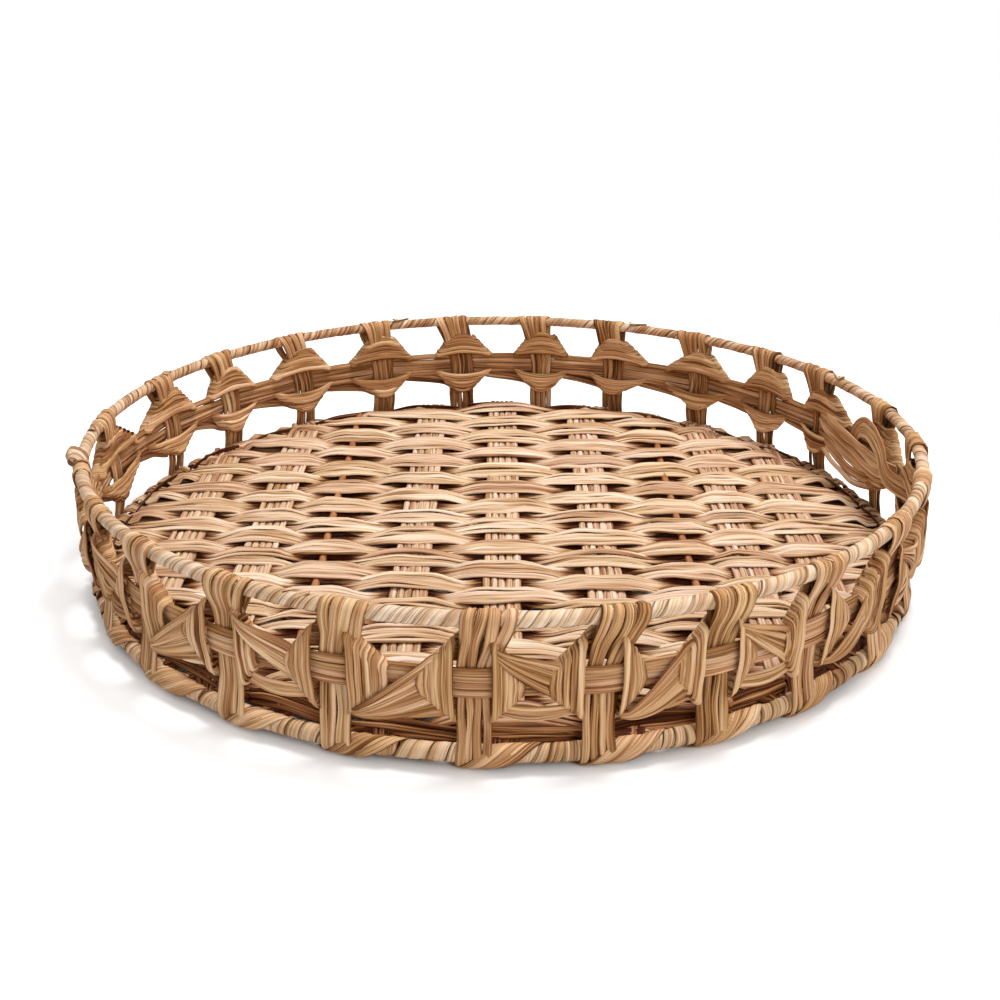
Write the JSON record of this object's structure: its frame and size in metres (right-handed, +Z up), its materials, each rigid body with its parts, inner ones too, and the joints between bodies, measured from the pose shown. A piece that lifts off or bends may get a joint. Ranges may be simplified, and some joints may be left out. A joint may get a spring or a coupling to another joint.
{
  "type": "round woven tray basket",
  "caption": "Low round open tray basket of leaf strips: wrapped rim and base hoops joined by posts, with a knotted mid band and an over-under woven floor.",
  "frame": {"origin": "on the table, under the middle of the basket", "axes": "+Z up through the middle of both hoops; -Y is the front, the side nearest to the picture's camera; the floor warps run along Y"},
  "size_m": [0.4097, 0.4097, 0.0714],
  "materials": {
    "rod": "bare round rod, matt, hidden under its wrap",
    "rim_wrap": "dry natural leaf strip, fibrous, faint satin sheen",
    "base_wrap": "dry natural leaf strip, fibrous, faint satin sheen",
    "post": "dry natural leaf strip, fibrous, faint satin sheen",
    "band": "dry natural leaf strip, fibrous, faint satin sheen",
    "lacing": "dry natural leaf strip, fibrous, faint satin sheen",
    "warp": "dry natural leaf strip, fibrous, faint satin sheen",
    "stick": "bare thin cane stick, satin",
    "weft": "dry natural leaf strip, fibrous, faint satin sheen"
  },
  "bodies": {
    "root": {"rim_hoop": "rod", "base_hoop": "rod", "rim_wrap": "rim_wrap", "base_wrap": "base_wrap", "mid_band": "band", "post_01": "post", "post_02": "post", "post_03": "post", "post_04": "post", "post_05": "post", "post_06": "post", "post_07": "post", "post_08": "post", "post_09": "post", "post_10": "post", "post_11": "post", "post_12": "post", "post_13": "post", "post_14": "post", "post_15": "post", "post_16": "post", "post_17": "post", "post_18": "post", "post_19": "post", "post_20": "post", "post_21": "post", "post_22": "post", "post_23": "post", "post_24": "post", "lacing_01": "lacing", "lacing_02": "lacing", "lacing_03": "lacing", "lacing_04": "lacing", "lacing_05": "lacing", "lacing_06": "lacing", "lacing_07": "lacing", "lacing_08": "lacing", "lacing_09": "lacing", "lacing_10": "lacing", "lacing_11": "lacing", "lacing_12": "lacing", "floor_warp_1": "warp", "floor_warp_2": "warp", "floor_warp_3": "warp", "floor_warp_4": "warp", "floor_warp_5": "warp", "floor_warp_6": "warp", "floor_warp_7": "warp", "floor_stick_1": "stick", "floor_stick_2": "stick", "floor_weft_01": "weft", "floor_weft_02": "weft", "floor_weft_03": "weft", "floor_weft_04": "weft", "floor_weft_05": "weft", "floor_weft_06": "weft", "floor_weft_07": "weft", "floor_weft_08": "weft", "floor_weft_09": "weft", "floor_weft_10": "weft"}
  },
  "joints": []
}
